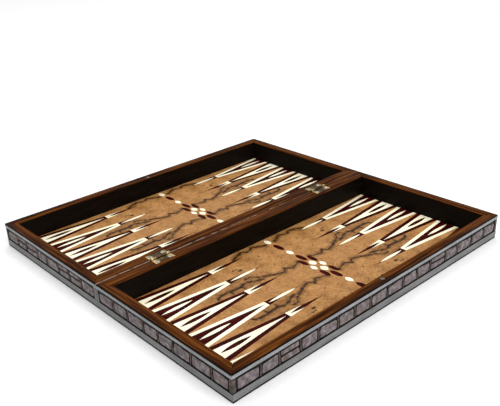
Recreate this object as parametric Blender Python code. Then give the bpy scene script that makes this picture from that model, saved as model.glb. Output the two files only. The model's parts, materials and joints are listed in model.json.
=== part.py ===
"""Folding backgammon board, lying open and flat.

Two shallow trays, the base at +X and the lid at -X, meet at the fold line x = 0. Each tray is a frame of
four rails between a thin outer panel (the chess face, underneath when open) and mitred rim strips. A playing
field lies in the tray, and a moulding covers the three outer sides. Two butt hinges let into the rims join
the trays, and a magnet in each outer rim holds the board shut.

Metres, +Z up, origin at the bottom centre of the open board, +Y along the fold line.
"""

import math

import bmesh
import bpy
from mathutils import Vector

# Driving dimensions
BOARD_LENGTH = 0.490
HALF_WIDTH = 0.246
HALF_HEIGHT = 0.035
GAP = 0.0003

PANEL_THICK = 0.0017
FIELD_THICK = 0.0020
RIM_THICK = 0.0014
RIM_WIDTH = 0.0138
HINGE_RIM_WIDTH = 0.0184

MOULDING_THICK = 0.0034
MOULDING_WIDE_BAND_TOP = 0.0109
MOULDING_NARROW_BAND_BOTTOM = 0.0289
MOULDING_GROOVE_WIDTH = 0.0012
MOULDING_GROOVE_DEPTH = 0.0018
MOULDING_FIELD_DEPTH = 0.0010

MAGNET_RADIUS = 0.0030
MAGNET_THICK = 0.0030
MAGNET_INSET = 0.0088

HINGE_SPREAD = 0.149
HINGE_LENGTH = 0.030
HINGE_LEAF_REACH = 0.0125
HINGE_LEAF_THICK = 0.0012
HINGE_KNUCKLES = 5
KNUCKLE_RADIUS = 0.0022
KNUCKLE_BORE = 0.0012
PIN_RADIUS = 0.0010
AXIS_ABOVE_RIM = 0.0003

SCREW_HEAD_RADIUS = 0.00225
SCREW_SHANK_RADIUS = 0.00095
SCREW_LENGTH = 0.0090
SCREW_SPACING = 0.018
SCREW_FROM_FOLD = 0.0080
SCREW_SLOT_WIDTH = 0.0006
SCREW_SLOT_DEPTH = 0.0005

ROUND_SIDES = 24
SCREW_SIDES = 16

# Levels and edges worked out from the driving dimensions
HALF_LENGTH = BOARD_LENGTH / 2
FLOOR_Z = PANEL_THICK + GAP
FIELD_TOP = FLOOR_Z + FIELD_THICK
RIM_BOTTOM = HALF_HEIGHT - RIM_THICK
FRAME_TOP = RIM_BOTTOM - GAP
AXIS_Z = HALF_HEIGHT + AXIS_ABOVE_RIM
FOLD_X = GAP
RAIL_OUTER_X = HALF_WIDTH - MOULDING_THICK - GAP
RAIL_INNER_X = HALF_WIDTH - RIM_WIDTH
HINGE_RAIL_X = HINGE_RIM_WIDTH
RAIL_OUTER_Y = HALF_LENGTH - MOULDING_THICK - GAP
RAIL_INNER_Y = HALF_LENGTH - RIM_WIDTH
LEAF_TOP = HALF_HEIGHT - 0.0001
LEAF_BOTTOM = LEAF_TOP - HINGE_LEAF_THICK
KNUCKLE_LENGTH = HINGE_LENGTH / HINGE_KNUCKLES

COLOURS = {
    "walnut_rim": ((0.22, 0.085, 0.025, 1), 0.38, 0.0),
    "black_frame": ((0.012, 0.010, 0.010, 1), 0.45, 0.0),
    "burl_field": ((0.52, 0.30, 0.13, 1), 0.42, 0.0),
    "chess_face": ((0.45, 0.26, 0.11, 1), 0.30, 0.0),
    "stone_moulding": ((0.17, 0.15, 0.16, 1), 0.50, 0.0),
    "aged_brass": ((0.45, 0.36, 0.20, 1), 0.38, 1.0),
    "steel": ((0.60, 0.60, 0.58, 1), 0.32, 1.0),
}


def clear_scene():
    for item in list(bpy.data.objects):
        bpy.data.objects.remove(item)


def make_materials():
    materials = {}
    for name, (colour, roughness, metallic) in COLOURS.items():
        material = bpy.data.materials.new(name)
        material.use_nodes = True
        shader = material.node_tree.nodes["Principled BSDF"]
        shader.inputs["Base Color"].default_value = colour
        shader.inputs["Roughness"].default_value = roughness
        shader.inputs["Metallic"].default_value = metallic
        materials[name] = material
    return materials


def make_fold_axis():
    """The empty on the hinge pins' line that carries every piece of the lid."""
    axis = bpy.data.objects.new("fold_axis", None)
    bpy.context.collection.objects.link(axis)
    axis.location = (0, 0, AXIS_Z)
    return axis


def add_object(name, shape, origin, material=None, parent=None):
    """Makes an object of a bmesh drawn in the board's frame, with its own origin at the given point."""
    bmesh.ops.recalc_face_normals(shape, faces=shape.faces)
    bmesh.ops.translate(shape, verts=shape.verts, vec=-Vector(origin))
    mesh = bpy.data.meshes.new(name)
    shape.to_mesh(mesh)
    shape.free()
    piece = bpy.data.objects.new(name, mesh)
    bpy.context.collection.objects.link(piece)
    piece.location = origin
    if material:
        mesh.materials.append(material)
    if parent:
        piece.parent = parent
        piece.location = Vector(origin) - parent.location
    return piece


def add_cutter(name, shape, origin, parent):
    cutter = add_object(name, shape, origin, parent=parent)
    cutter.hide_render = True
    cutter.display_type = "WIRE"
    return cutter


def boolean(piece, operation, other):
    modifier = piece.modifiers.new(other.name, "BOOLEAN")
    modifier.operation = operation
    modifier.solver = "EXACT"
    modifier.object = other


def loft(start, end):
    """A closed solid between two matching outlines, each a list of points."""
    shape = bmesh.new()
    first = [shape.verts.new(p) for p in start]
    last = [shape.verts.new(p) for p in end]
    shape.faces.new(first)
    shape.faces.new(list(reversed(last)))
    for i in range(len(first)):
        j = (i + 1) % len(first)
        shape.faces.new((first[i], last[i], last[j], first[j]))
    return shape


def slab(outline, low, high):
    """A plate: an outline of (x, y) points between two heights."""
    return loft([(x, y, low) for x, y in outline], [(x, y, high) for x, y in outline])


def rectangle(x0, x1, y0, y1):
    return [(x0, y0), (x1, y0), (x1, y1), (x0, y1)]


def box(x0, x1, y0, y1, z0, z1):
    return slab(rectangle(x0, x1, y0, y1), z0, z1)


def turned(centre, profile, sides):
    """A round solid about a vertical axis: a profile of (radius, z) points from the top down."""
    shape = bmesh.new()
    rings = []
    for radius, z in profile:
        ring = []
        for i in range(sides):
            turn = 2 * math.pi * i / sides
            point = (centre[0] + radius * math.cos(turn), centre[1] + radius * math.sin(turn), z)
            ring.append(shape.verts.new(point))
        rings.append(ring)
    shape.faces.new(rings[0])
    shape.faces.new(list(reversed(rings[-1])))
    for upper, lower in zip(rings, rings[1:]):
        for i in range(sides):
            j = (i + 1) % sides
            shape.faces.new((upper[i], lower[i], lower[j], upper[j]))
    return shape


def rod_along_y(radius, y0, y1, sides):
    """A round bar on the fold axis."""
    turns = [2 * math.pi * i / sides for i in range(sides)]
    ring = [(radius * math.cos(t), AXIS_Z + radius * math.sin(t)) for t in turns]
    return loft([(x, y0, z) for x, z in ring], [(x, y1, z) for x, z in ring])


def middle(x0, x1, y0, y1, z):
    return ((x0 + x1) / 2, (y0 + y1) / 2, z)


def smooth(piece, angle_deg=30):
    piece.data.shade_smooth()
    piece.data.set_sharp_from_angle(angle=math.radians(angle_deg))


# ---- one tray ----------------------------------------------------------------------------------------------


def panel_and_field(half, side, parent, materials):
    """The thin outer panel under the whole tray, and the playing field between the rails."""
    x0, x1 = sorted((side * FOLD_X, side * HALF_WIDTH))
    origin = middle(x0, x1, -HALF_LENGTH, HALF_LENGTH, 0)
    panel = box(x0, x1, -HALF_LENGTH, HALF_LENGTH, 0, PANEL_THICK)
    add_object(half + "_chess_panel", panel, origin, materials["chess_face"], parent)

    inner, outer = HINGE_RAIL_X + GAP, RAIL_INNER_X - GAP
    x0, x1 = sorted((side * inner, side * outer))
    reach = RAIL_INNER_Y - GAP
    origin = middle(x0, x1, -reach, reach, FLOOR_Z)
    field = box(x0, x1, -reach, reach, FLOOR_Z, FIELD_TOP)
    add_object(half + "_playing_field", field, origin, materials["burl_field"], parent)


def rails(half, side, parent, materials):
    """Two long rails and, butted between them, two end rails. Returns them by name."""
    spans = {
        "hinge_rail": (FOLD_X, HINGE_RAIL_X, -RAIL_OUTER_Y, RAIL_OUTER_Y),
        "outer_rail": (RAIL_INNER_X, RAIL_OUTER_X, -RAIL_OUTER_Y, RAIL_OUTER_Y),
        "front_rail": (HINGE_RAIL_X + GAP, RAIL_INNER_X - GAP, -RAIL_OUTER_Y, -RAIL_INNER_Y),
        "back_rail": (HINGE_RAIL_X + GAP, RAIL_INNER_X - GAP, RAIL_INNER_Y, RAIL_OUTER_Y),
    }
    made = {}
    for name, (near, far, y0, y1) in spans.items():
        x0, x1 = sorted((side * near, side * far))
        shape = box(x0, x1, y0, y1, FLOOR_Z, FRAME_TOP)
        origin = middle(x0, x1, y0, y1, FLOOR_Z)
        made[name] = add_object(half + "_" + name, shape, origin, materials["black_frame"], parent)
    return made


def notched_edge(x):
    """The rim's fold edge from the back end to the front end, with a notch round each hinge leaf."""
    reach = HINGE_LENGTH / 2 + GAP
    depth = HINGE_LEAF_REACH + GAP
    points = []
    for y in (HINGE_SPREAD, -HINGE_SPREAD):
        points += [(x, y + reach), (depth, y + reach), (depth, y - reach), (x, y - reach)]
    return points


def rim_strips(half, side, parent, materials):
    """Four mitred strips that cap the frame and the mouldings. Returns them by name."""
    outer = [(FOLD_X, -HALF_LENGTH), (HALF_WIDTH, -HALF_LENGTH), (HALF_WIDTH, HALF_LENGTH), (FOLD_X, HALF_LENGTH)]
    inner = [
        (HINGE_RIM_WIDTH, -RAIL_INNER_Y),
        (RAIL_INNER_X, -RAIL_INNER_Y),
        (RAIL_INNER_X, RAIL_INNER_Y),
        (HINGE_RIM_WIDTH, RAIL_INNER_Y),
    ]
    names = ["front_rim", "outer_rim", "back_rim", "hinge_rim"]
    made = {}
    for i, name in enumerate(names):
        j = (i + 1) % 4
        along = (Vector(outer[j]) - Vector(outer[i])).normalized()
        mitre_i = (Vector(inner[i]) - Vector(outer[i])).normalized()
        mitre_j = (Vector(inner[j]) - Vector(outer[j])).normalized()
        step_i = along * (GAP / 2 / abs(along.cross(mitre_i)))
        step_j = along * (GAP / 2 / abs(along.cross(mitre_j)))
        corners = [
            Vector(outer[i]) + step_i,
            Vector(outer[j]) - step_j,
            Vector(inner[j]) - step_j,
            Vector(inner[i]) + step_i,
        ]
        outline = [tuple(c) for c in corners]
        if name == "hinge_rim":
            outline[1:1] = notched_edge(FOLD_X)
        outline = [(side * x, y) for x, y in outline]
        shape = slab(outline, RIM_BOTTOM, HALF_HEIGHT)
        centre = (Vector(outer[i]) + Vector(outer[j])) / 2
        origin = (side * centre.x, centre.y, RIM_BOTTOM)
        made[name] = add_object(half + "_" + name, shape, origin, materials["walnut_rim"], parent)
    return made


def moulding_profile():
    """(depth from the outer face, z) points of the edge moulding, from its bottom outer corner round."""
    low, high = FLOOR_Z, FRAME_TOP
    first, last = MOULDING_WIDE_BAND_TOP, MOULDING_NARROW_BAND_BOTTOM
    groove, deep, field = MOULDING_GROOVE_WIDTH, MOULDING_GROOVE_DEPTH, MOULDING_FIELD_DEPTH
    return [
        (MOULDING_THICK, low),
        (0, low),
        (0, first),
        (deep, first),
        (deep, first + groove),
        (field, first + groove),
        (field, last - groove),
        (deep, last - groove),
        (deep, last),
        (0, last),
        (0, high),
        (MOULDING_THICK, high),
    ]


def mouldings(half, side, parent, materials):
    """Edge mouldings on the three outer sides, mitred at the two outer corners."""
    profile = moulding_profile()
    mitre_gap = GAP / 2 * math.sqrt(2)
    reach = HALF_LENGTH - mitre_gap
    start = [(side * (HALF_WIDTH - d), -reach + d, z) for d, z in profile]
    end = [(side * (HALF_WIDTH - d), reach - d, z) for d, z in profile]
    origin = (side * HALF_WIDTH, 0, FLOOR_Z)
    add_object(half + "_outer_moulding", loft(start, end), origin, materials["stone_moulding"], parent)

    far = HALF_WIDTH - mitre_gap
    for name, end_side in (("front", -1), ("back", 1)):
        start = [(side * FOLD_X, end_side * (HALF_LENGTH - d), z) for d, z in profile]
        end = [(side * (far - d), end_side * (HALF_LENGTH - d), z) for d, z in profile]
        origin = (side * HALF_WIDTH / 2, end_side * HALF_LENGTH, FLOOR_Z)
        shape = loft(start, end)
        add_object(half + "_" + name + "_moulding", shape, origin, materials["stone_moulding"], parent)


def magnet(half, side, rim, rail, parent, materials):
    """A disc magnet let into the middle of the outer rim, in a blind hole."""
    centre = (side * (HALF_WIDTH - MAGNET_INSET), 0)
    top = HALF_HEIGHT - GAP / 3
    bottom = top - MAGNET_THICK
    disc = turned(centre, [(MAGNET_RADIUS, top), (MAGNET_RADIUS, bottom)], ROUND_SIDES)
    piece = add_object(half + "_magnet", disc, (*centre, bottom), materials["steel"], parent)
    smooth(piece)
    bore = MAGNET_RADIUS + GAP
    hole = turned(centre, [(bore, HALF_HEIGHT + GAP), (bore, bottom - GAP)], ROUND_SIDES)
    cutter = add_cutter(half + "_magnet_cutter", hole, (*centre, bottom), parent)
    boolean(rim, "DIFFERENCE", cutter)
    boolean(rail, "DIFFERENCE", cutter)


def tray(half, side, parent, materials):
    """One tray. side is +1 for the base and -1 for the lid. Returns its hinge rail."""
    panel_and_field(half, side, parent, materials)
    frame = rails(half, side, parent, materials)
    rims = rim_strips(half, side, parent, materials)
    mouldings(half, side, parent, materials)
    magnet(half, side, rims["outer_rim"], frame["outer_rail"], parent, materials)
    return frame["hinge_rail"]


# ---- hinges ------------------------------------------------------------------------------------------------


def leaf(name, side, y, knuckles, parent, materials):
    """A hinge leaf: a plate let into the rim, with rolled knuckles on the fold axis and a bore for the pin."""
    clear = KNUCKLE_RADIUS + GAP
    x0, x1 = sorted((side * clear, side * HINGE_LEAF_REACH))
    plate = box(x0, x1, y - HINGE_LENGTH / 2, y + HINGE_LENGTH / 2, LEAF_BOTTOM, LEAF_TOP)
    origin = (0, y, AXIS_Z)
    piece = add_object(name, plate, origin, materials["aged_brass"], parent)
    lap = 0.00005
    for k in knuckles:
        y0 = y - HINGE_LENGTH / 2 + k * KNUCKLE_LENGTH + GAP / 2
        y1 = y0 + KNUCKLE_LENGTH - GAP
        barrel = rod_along_y(KNUCKLE_RADIUS, y0, y1, ROUND_SIDES)
        roll = add_cutter("%s_roll_%d" % (name, k), barrel, origin, parent)
        boolean(piece, "UNION", roll)
        near, far = sorted((side * KNUCKLE_RADIUS * 0.7, side * (clear + 0.001)))
        neck = box(near, far, y0 + lap, y1 - lap, LEAF_BOTTOM + lap, LEAF_TOP - lap)
        web = add_cutter("%s_web_%d" % (name, k), neck, origin, parent)
        boolean(piece, "UNION", web)
    bore = rod_along_y(KNUCKLE_BORE, y - HINGE_LENGTH, y + HINGE_LENGTH, ROUND_SIDES)
    drill = add_cutter(name + "_bore", bore, origin, parent)
    boolean(piece, "DIFFERENCE", drill)
    return piece


def screw(name, centre, piece, rail, parent, materials):
    """A countersunk slotted wood screw through the leaf into the hinge rail, with its two holes."""
    head_top = LEAF_TOP - GAP / 6
    head_depth = SCREW_HEAD_RADIUS - SCREW_SHANK_RADIUS
    tip = head_top - SCREW_LENGTH
    profile = [
        (SCREW_HEAD_RADIUS, head_top),
        (SCREW_SHANK_RADIUS, head_top - head_depth),
        (SCREW_SHANK_RADIUS, tip + SCREW_SHANK_RADIUS * 2),
        (SCREW_SHANK_RADIUS * 0.2, tip),
    ]
    origin = (*centre, head_top)
    body = add_object(name, turned(centre, profile, SCREW_SIDES), origin, materials["steel"], parent)
    smooth(body)
    x, y = centre
    half_slot = SCREW_SLOT_WIDTH / 2
    reach = SCREW_HEAD_RADIUS * 1.2
    groove = box(
        x - half_slot, x + half_slot, y - reach, y + reach, head_top - SCREW_SLOT_DEPTH, head_top + GAP
    )
    boolean(body, "DIFFERENCE", add_cutter(name + "_slot", groove, origin, parent))

    countersink = [
        (SCREW_HEAD_RADIUS + GAP * 2, LEAF_TOP + GAP),
        (SCREW_SHANK_RADIUS + GAP, LEAF_TOP + GAP - head_depth - GAP),
        (SCREW_SHANK_RADIUS + GAP, tip - GAP),
    ]
    hole = add_cutter(name + "_hole", turned(centre, countersink, SCREW_SIDES), origin, parent)
    boolean(piece, "DIFFERENCE", hole)
    boolean(rail, "DIFFERENCE", hole)


def knuckle_pocket(name, side, y, rail, parent):
    """A rebate along the rail's fold edge that the barrel turns in."""
    depth = KNUCKLE_RADIUS + GAP
    x0, x1 = sorted((-side * GAP, side * depth))
    reach = HINGE_LENGTH / 2 + GAP
    pocket = box(x0, x1, y - reach, y + reach, AXIS_Z - depth, HALF_HEIGHT)
    boolean(rail, "DIFFERENCE", add_cutter(name + "_pocket", pocket, (0, y, AXIS_Z), parent))


def hinge(name, y, base_rail, lid_rail, axis, materials):
    """One butt hinge: two leaves with interleaved knuckles, the pin, and two screws in each leaf."""
    odd = range(0, HINGE_KNUCKLES, 2)
    even = range(1, HINGE_KNUCKLES, 2)
    plan = [("base", 1, odd, base_rail, None), ("lid", -1, even, lid_rail, axis)]
    for half, side, knuckles, rail, parent in plan:
        piece = leaf("%s_%s_leaf" % (name, half), side, y, knuckles, parent, materials)
        knuckle_pocket("%s_%s" % (name, half), side, y, rail, parent)
        for number, offset in ((1, -SCREW_SPACING / 2), (2, SCREW_SPACING / 2)):
            centre = (side * SCREW_FROM_FOLD, y + offset)
            title = "%s_%s_screw_%d" % (name, half, number)
            screw(title, centre, piece, rail, parent, materials)
    reach = HINGE_LENGTH / 2
    pin = rod_along_y(PIN_RADIUS, y - reach, y + reach, ROUND_SIDES)
    rod = add_object(name + "_pin", pin, (0, y, AXIS_Z), materials["steel"])
    smooth(rod)


def main():
    clear_scene()
    materials = make_materials()
    axis = make_fold_axis()
    base_rail = tray("base", 1, None, materials)
    lid_rail = tray("lid", -1, axis, materials)
    hinge("front_hinge", -HINGE_SPREAD, base_rail, lid_rail, axis, materials)
    hinge("back_hinge", HINGE_SPREAD, base_rail, lid_rail, axis, materials)


main()
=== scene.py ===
"""Looks of the folding backgammon board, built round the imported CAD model.

The board lies open and flat: the base tray at +X, the lid tray at -X, the fold along Y at x = 0.
Patterns are drawn in millimetres in the board's own frame, and turned into metres when they become pieces.
"""

import json
import math

import bmesh
import bpy
from mathutils import Matrix, Vector

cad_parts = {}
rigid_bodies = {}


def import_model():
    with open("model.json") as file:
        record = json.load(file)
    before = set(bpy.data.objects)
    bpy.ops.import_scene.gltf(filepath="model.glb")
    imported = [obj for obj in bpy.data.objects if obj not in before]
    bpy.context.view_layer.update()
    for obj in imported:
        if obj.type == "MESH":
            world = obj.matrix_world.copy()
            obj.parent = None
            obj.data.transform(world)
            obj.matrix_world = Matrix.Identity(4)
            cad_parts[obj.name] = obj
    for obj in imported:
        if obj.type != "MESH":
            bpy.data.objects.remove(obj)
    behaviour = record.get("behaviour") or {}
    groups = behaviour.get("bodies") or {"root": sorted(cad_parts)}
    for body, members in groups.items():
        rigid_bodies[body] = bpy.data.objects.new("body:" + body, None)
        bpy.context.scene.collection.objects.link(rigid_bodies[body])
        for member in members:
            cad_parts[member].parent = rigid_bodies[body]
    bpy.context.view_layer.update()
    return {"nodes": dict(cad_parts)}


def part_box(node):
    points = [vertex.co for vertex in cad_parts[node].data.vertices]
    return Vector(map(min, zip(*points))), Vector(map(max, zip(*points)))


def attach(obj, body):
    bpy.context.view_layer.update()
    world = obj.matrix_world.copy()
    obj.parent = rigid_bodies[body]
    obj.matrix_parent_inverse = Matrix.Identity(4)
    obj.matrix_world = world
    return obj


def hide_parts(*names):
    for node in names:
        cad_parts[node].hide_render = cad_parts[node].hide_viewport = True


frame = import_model()

MM = 0.001
SIDES = {"base": 1, "lid": -1}
HINGES = ("front_hinge", "back_hinge")


def box_mm(node):
    low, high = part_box(node)
    return Vector(low) / MM, Vector(high) / MM


# ---- sizes, read from the CAD boxes or given in millimetres

FIELD_LOW, FIELD_HIGH = box_mm("base_playing_field")
OUTER_LOW, OUTER_HIGH = box_mm("base_outer_moulding")
PANEL_LOW, PANEL_HIGH = box_mm("base_chess_panel")
RIM_HIGH = box_mm("base_outer_rim")[1]
LEAF_LOW, LEAF_HIGH = box_mm("front_hinge_base_leaf")
BACK_LEAF_LOW = box_mm("back_hinge_base_leaf")[0]
SCREW_LOW, SCREW_HIGH = box_mm("front_hinge_base_screw_1")
NEXT_SCREW_LOW = box_mm("front_hinge_base_screw_2")[0]

HALF_WIDTH = PANEL_HIGH.x
HALF_LENGTH = PANEL_HIGH.y
FOLD_X = PANEL_LOW.x
FIELD_TOP = FIELD_HIGH.z

# Inlays are thin plates. Each colour lies a hair above the one that it is let into.
INLAY_STEP = 0.04
INLAY_ROOT = 0.30

# Points of the playing field
ROWS = 6
ROW_PITCH = (FIELD_HIGH.x - FIELD_LOW.x) / ROWS
PATTERN_Y = 12.5
STEP_FROM_MIDDLE = 111.7
STEP_HALF = 4.9
POINT_SLOPE = 0.115
TIP_LENGTH = 59.7
TIP_HALF = 5.2
SLIVER_START = 57.5
SLIVER_END = 104.5
NOTCH_START = 4.0
NOTCH_END = 27.0
CORE_START = 3.5
CORE_END = 50.0
CORE_HALF = 2.4

# The filling's start and slope and the sliver's half width, for a dark outline and for a light one
FILLINGS = {True: (3.0, 0.100, 3.2), False: (1.5, 0.111, 2.6)}

# Chess face, measured from its outer edges
CHESS_FACE_Z = 0.25
CHESS_STEP = 0.03
BLACK_EDGE = 0.8
STEP_BAND = 4.1
MAROON_RING_END = 12.6
BORDER_START = 14.8
BORDER_END = 40.8
BORDER_MIDDLE = (BORDER_START + BORDER_END) / 2
BORDER_HALF = (BORDER_END - BORDER_START) / 2
INNER_LINES = ((41.3, 43.1), (46.7, 48.5))
SQUARES_START = 48.2
GRID_LINE = 1.4
SQUARE_Y = (HALF_LENGTH - SQUARES_START) / 4
SQUARE_X = (HALF_WIDTH - SQUARES_START) / 4


# ---- meshes


def loft(shape, start, end):
    """Adds a closed solid between two matching outlines of (x, y, z) points."""
    first = [shape.verts.new(p) for p in start]
    last = [shape.verts.new(p) for p in end]
    shape.faces.new(first)
    shape.faces.new(list(reversed(last)))
    for i in range(len(first)):
        j = (i + 1) % len(first)
        shape.faces.new((first[i], last[i], last[j], first[j]))


def prism(shape, outline, low, high):
    """Adds a closed plate: an outline of (x, y) points between two heights."""
    loft(shape, [(x, y, low) for x, y in outline], [(x, y, high) for x, y in outline])


def new_plate(outline, low, high):
    shape = bmesh.new()
    prism(shape, outline, low, high)
    return shape


def ring_plate(shape, outer, inner, low, high):
    """Adds a closed flat frame between two outlines that have the same number of points."""
    count = len(outer)
    loops = [
        [shape.verts.new((x, y, z)) for x, y in outline]
        for outline, z in ((outer, low), (outer, high), (inner, high), (inner, low))
    ]
    for k in range(4):
        for i in range(count):
            j = (i + 1) % count
            first, second = loops[k], loops[(k + 1) % 4]
            shape.faces.new((first[i], first[j], second[j], second[i]))


def rectangle(x0, x1, y0, y1):
    return [(x0, y0), (x1, y0), (x1, y1), (x0, y1)]


def inset_rectangle(inset):
    """The board's outline, drawn in by a distance."""
    x, y = HALF_WIDTH - inset, HALF_LENGTH - inset
    return rectangle(-x, x, -y, y)


def turned_outline(outline, centre, turn=0.0):
    """An outline turned about its own origin and carried to a centre."""
    c, s = math.cos(turn), math.sin(turn)
    return [(centre[0] + c * x - s * y, centre[1] + s * x + c * y) for x, y in outline]


def lens_outline(length, width, fullness=2.0, steps=10):
    """A pointed oval along x. A higher fullness makes it blunter."""
    across = [-1 + 2 * i / steps for i in range(steps + 1)]
    upper = [(t * length / 2, width / 2 * (1 - abs(t) ** fullness)) for t in across]
    lower = [(x, -y) for x, y in reversed(upper[1:-1])]
    return upper + lower


def disc_outline(radius, steps=32):
    turns = [2 * math.pi * i / steps for i in range(steps)]
    return [(radius * math.cos(t), radius * math.sin(t)) for t in turns]


def crescent_outline(radius, width, start, end, steps=12):
    """A curved leaf on an arc about the origin, pointed at both ends."""
    outer, inner = [], []
    for i in range(steps + 1):
        part = i / steps
        turn = start + (end - start) * part
        half = width / 2 * math.sin(math.pi * part)
        outer.append(((radius + half) * math.cos(turn), (radius + half) * math.sin(turn)))
        inner.append(((radius - half) * math.cos(turn), (radius - half) * math.sin(turn)))
    return outer + inner[-2:0:-1]


def rounded(points, radius, steps=4):
    """A closed outline with each marked corner eased. Each point is (x, y, share of the radius)."""
    eased = []
    for i, (x, y, share) in enumerate(points):
        corner = Vector((x, y))
        if not share:
            eased.append((x, y))
            continue
        before = Vector(points[i - 1][:2]) - corner
        after = Vector(points[(i + 1) % len(points)][:2]) - corner
        start = corner + before.normalized() * radius * share
        end = corner + after.normalized() * radius * share
        for k in range(steps + 1):
            t = k / steps
            at = start * (1 - t) ** 2 + corner * 2 * t * (1 - t) + end * t ** 2
            eased.append(tuple(at))
    return eased


def turned_solid(shape, centre, profile, sides):
    """Adds a round solid about a vertical axis: a profile of (radius, z) points from the top down."""
    rings = []
    for radius, z in profile:
        points = disc_outline(radius, sides)
        rings.append([shape.verts.new((centre[0] + x, centre[1] + y, z)) for x, y in points])
    shape.faces.new(rings[0])
    shape.faces.new(list(reversed(rings[-1])))
    for upper, lower in zip(rings, rings[1:]):
        for i in range(sides):
            j = (i + 1) % sides
            shape.faces.new((upper[i], lower[i], lower[j], upper[j]))


def add_bmesh(shape, other):
    """Adds a copy of another bmesh."""
    mesh = bpy.data.meshes.new("part")
    other.to_mesh(mesh)
    shape.from_mesh(mesh)
    bpy.data.meshes.remove(mesh)


def set_finish(node, material):
    node.data.materials.clear()
    node.data.materials.append(material)


def make_piece(name, shape, body, material, replaces=()):
    """Makes a finished piece of a bmesh drawn in millimetres, and joins it to its body."""
    bmesh.ops.recalc_face_normals(shape, faces=shape.faces)
    bmesh.ops.scale(shape, verts=shape.verts, vec=(MM, MM, MM))
    mesh = bpy.data.meshes.new(name)
    shape.to_mesh(mesh)
    shape.free()
    for face in mesh.polygons:
        face.material_index = 0
    piece = bpy.data.objects.new(name, mesh)
    set_finish(piece, material)
    bpy.context.scene.collection.objects.link(piece)
    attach(piece, body)
    if replaces:
        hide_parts(*replaces)
    return piece


def smooth(piece, angle_deg=35):
    piece.data.shade_smooth()
    piece.data.set_sharp_from_angle(angle=math.radians(angle_deg))


def ease_edges(piece, width, segments=2, angle_deg=40):
    """Rounds a piece's sharp edges a little, and makes the result plain mesh."""
    bevel = piece.modifiers.new("eased_edges", "BEVEL")
    bevel.width = width * MM
    bevel.segments = segments
    bevel.limit_method = "ANGLE"
    bevel.angle_limit = math.radians(angle_deg)
    bevel.use_clamp_overlap = True
    settle(piece)
    smooth(piece)


def settle(piece):
    """Replaces a piece's mesh with what its modifiers make of it, and removes them."""
    graph = bpy.context.evaluated_depsgraph_get()
    mesh = bpy.data.meshes.new_from_object(piece.evaluated_get(graph))
    piece.modifiers.clear()
    piece.data = mesh


# ---- node trees


class Nodes:
    """Short calls that add nodes to a tree."""

    def __init__(self, tree):
        self.tree = tree

    def add(self, kind, inputs=None, **settings):
        node = self.tree.nodes.new(kind)
        for key, value in settings.items():
            setattr(node, key, value)
        for socket, value in (inputs or {}).items():
            if isinstance(value, bpy.types.NodeSocket):
                self.tree.links.new(value, node.inputs[socket])
            else:
                node.inputs[socket].default_value = value
        return node

    def first(self, kind, inputs=None, **settings):
        """Adds a node and gives its first output."""
        return self.add(kind, inputs, **settings).outputs[0]

    def maths(self, operation, a, b=0.0, c=0.0):
        return self.first("ShaderNodeMath", {0: a, 1: b, 2: c}, operation=operation)

    def plus(self, a, b):
        return self.maths("ADD", a, b)

    def minus(self, a, b):
        return self.maths("SUBTRACT", a, b)

    def times(self, a, b):
        return self.maths("MULTIPLY", a, b)

    def over(self, a, b):
        return self.maths("DIVIDE", a, b)

    def most(self, a, b):
        return self.maths("MAXIMUM", a, b)

    def apart(self, a, b):
        """How far two values are apart."""
        return self.maths("ABSOLUTE", self.minus(a, b))

    def vector(self, operation, a, b):
        return self.first("ShaderNodeVectorMath", {0: a, 1: b}, operation=operation)

    def scaled(self, vector, factor):
        return self.first("ShaderNodeVectorMath", {0: vector, "Scale": factor}, operation="SCALE")

    def xyz(self, x=0.0, y=0.0, z=0.0):
        return self.first("ShaderNodeCombineXYZ", {"X": x, "Y": y, "Z": z})

    def fade(self, value, low, high, start=0.0, end=1.0):
        """A soft step: start at or below low, end at or above high."""
        inputs = {"Value": value, "From Min": low, "From Max": high, "To Min": start, "To Max": end}
        return self.first("ShaderNodeMapRange", inputs, interpolation_type="SMOOTHSTEP")


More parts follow.
